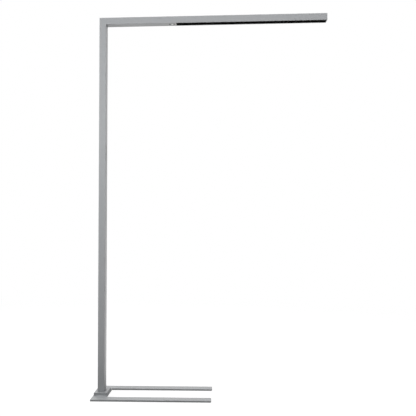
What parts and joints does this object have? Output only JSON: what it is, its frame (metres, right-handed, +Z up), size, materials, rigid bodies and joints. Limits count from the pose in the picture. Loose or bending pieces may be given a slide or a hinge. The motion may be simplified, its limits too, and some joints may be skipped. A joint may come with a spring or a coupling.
{
  "type": "office floor lamp",
  "caption": "Slim silver-grey office floor lamp: U-shaped flat base, tall rectangular upright and a long mitred arm with black cell louvre, sensors and a key strip.",
  "frame": {"origin": "on the floor, directly under the vertical axis of the upright", "axes": "+X along the arm away from the upright, +Y to the rear seen in the picture, +Z up"},
  "size_m": [1.2155, 0.27, 1.975],
  "materials": {
    "silver_aluminium": "satin silver-grey lacquer",
    "silver_steel": "satin silver-grey powder coat",
    "bare_steel": "zinc plated",
    "bare_aluminium": "mill finish",
    "floor_mat": "matt ribbed mat",
    "gasket_rubber": "matt",
    "screw_steel": "zinc plated",
    "black_plastic": "fine spark-eroded texture",
    "plated_brass": "nickel plated",
    "wire_sleeve": "smooth sleeve",
    "driver_case": "white case",
    "strip_grey": "satin grey moulding",
    "key_grey": "satin grey moulding",
    "circuit_board": "green solder mask",
    "white_board": "white solder mask",
    "led_yellow": "phosphor dome",
    "louvre_black": "gloss black moulding",
    "trim_grey": "satin light grey",
    "opal_cover": "opal, satin",
    "connector_white": "natural nylon",
    "lens_white": "translucent white",
    "sensor_dark": "dark filter"
  },
  "bodies": {
    "lamp": {"arm_connector": "connector_white", "arm_end_cap": "silver_aluminium", "arm_tube": "silver_aluminium", "base_bolts": "screw_steel", "base_mat": "floor_mat", "base_plate": "silver_steel", "block_screws": "screw_steel", "control_bezel": "strip_grey", "control_housing": "black_plastic", "control_pcb": "circuit_board", "control_screws": "screw_steel", "corner_bracket": "bare_aluminium", "corner_screws": "screw_steel", "downlight_board": "white_board", "downlight_leds": "led_yellow", "driver_holders": "black_plastic", "end_cap_screws": "screw_steel", "foot_block": "silver_steel", "infrared_window": "sensor_dark", "inlet_pins": "plated_brass", "key_switches": "black_plastic", "led_carrier": "bare_aluminium", "led_driver": "driver_case", "light_sensor_window": "sensor_dark", "loom_clips": "black_plastic", "louvre": "louvre_black", "mains_inlet": "black_plastic", "mains_wires": "wire_sleeve", "optic_end_trim": "trim_grey", "pir_element": "screw_steel", "post_foot_screws": "screw_steel", "post_gasket": "gasket_rubber", "post_spigot": "bare_steel", "post_tube": "silver_aluminium", "presence_sensor_lens": "lens_white", "sensor_housing": "black_plastic", "sensor_pcb": "circuit_board", "uplight_board": "white_board", "uplight_diffuser": "opal_cover", "uplight_leds": "led_yellow", "wiring_loom": "wire_sleeve"},
    "key_brighter": {"key_brighter": "key_grey"},
    "key_power": {"key_power": "key_grey"},
    "key_dimmer": {"key_dimmer": "key_grey"}
  },
  "joints": [
    {"name": "key_brighter_travel", "type": "slide", "parent": "lamp", "child": "key_brighter", "axis": [-1, 0, 0], "range_m": [0, 0.0008], "stiffness_N_per_m": 300},
    {"name": "key_power_travel", "type": "slide", "parent": "lamp", "child": "key_power", "axis": [-1, 0, 0], "range_m": [0, 0.0008], "stiffness_N_per_m": 300},
    {"name": "key_dimmer_travel", "type": "slide", "parent": "lamp", "child": "key_dimmer", "axis": [-1, 0, 0], "range_m": [0, 0.0008], "stiffness_N_per_m": 300}
  ]
}
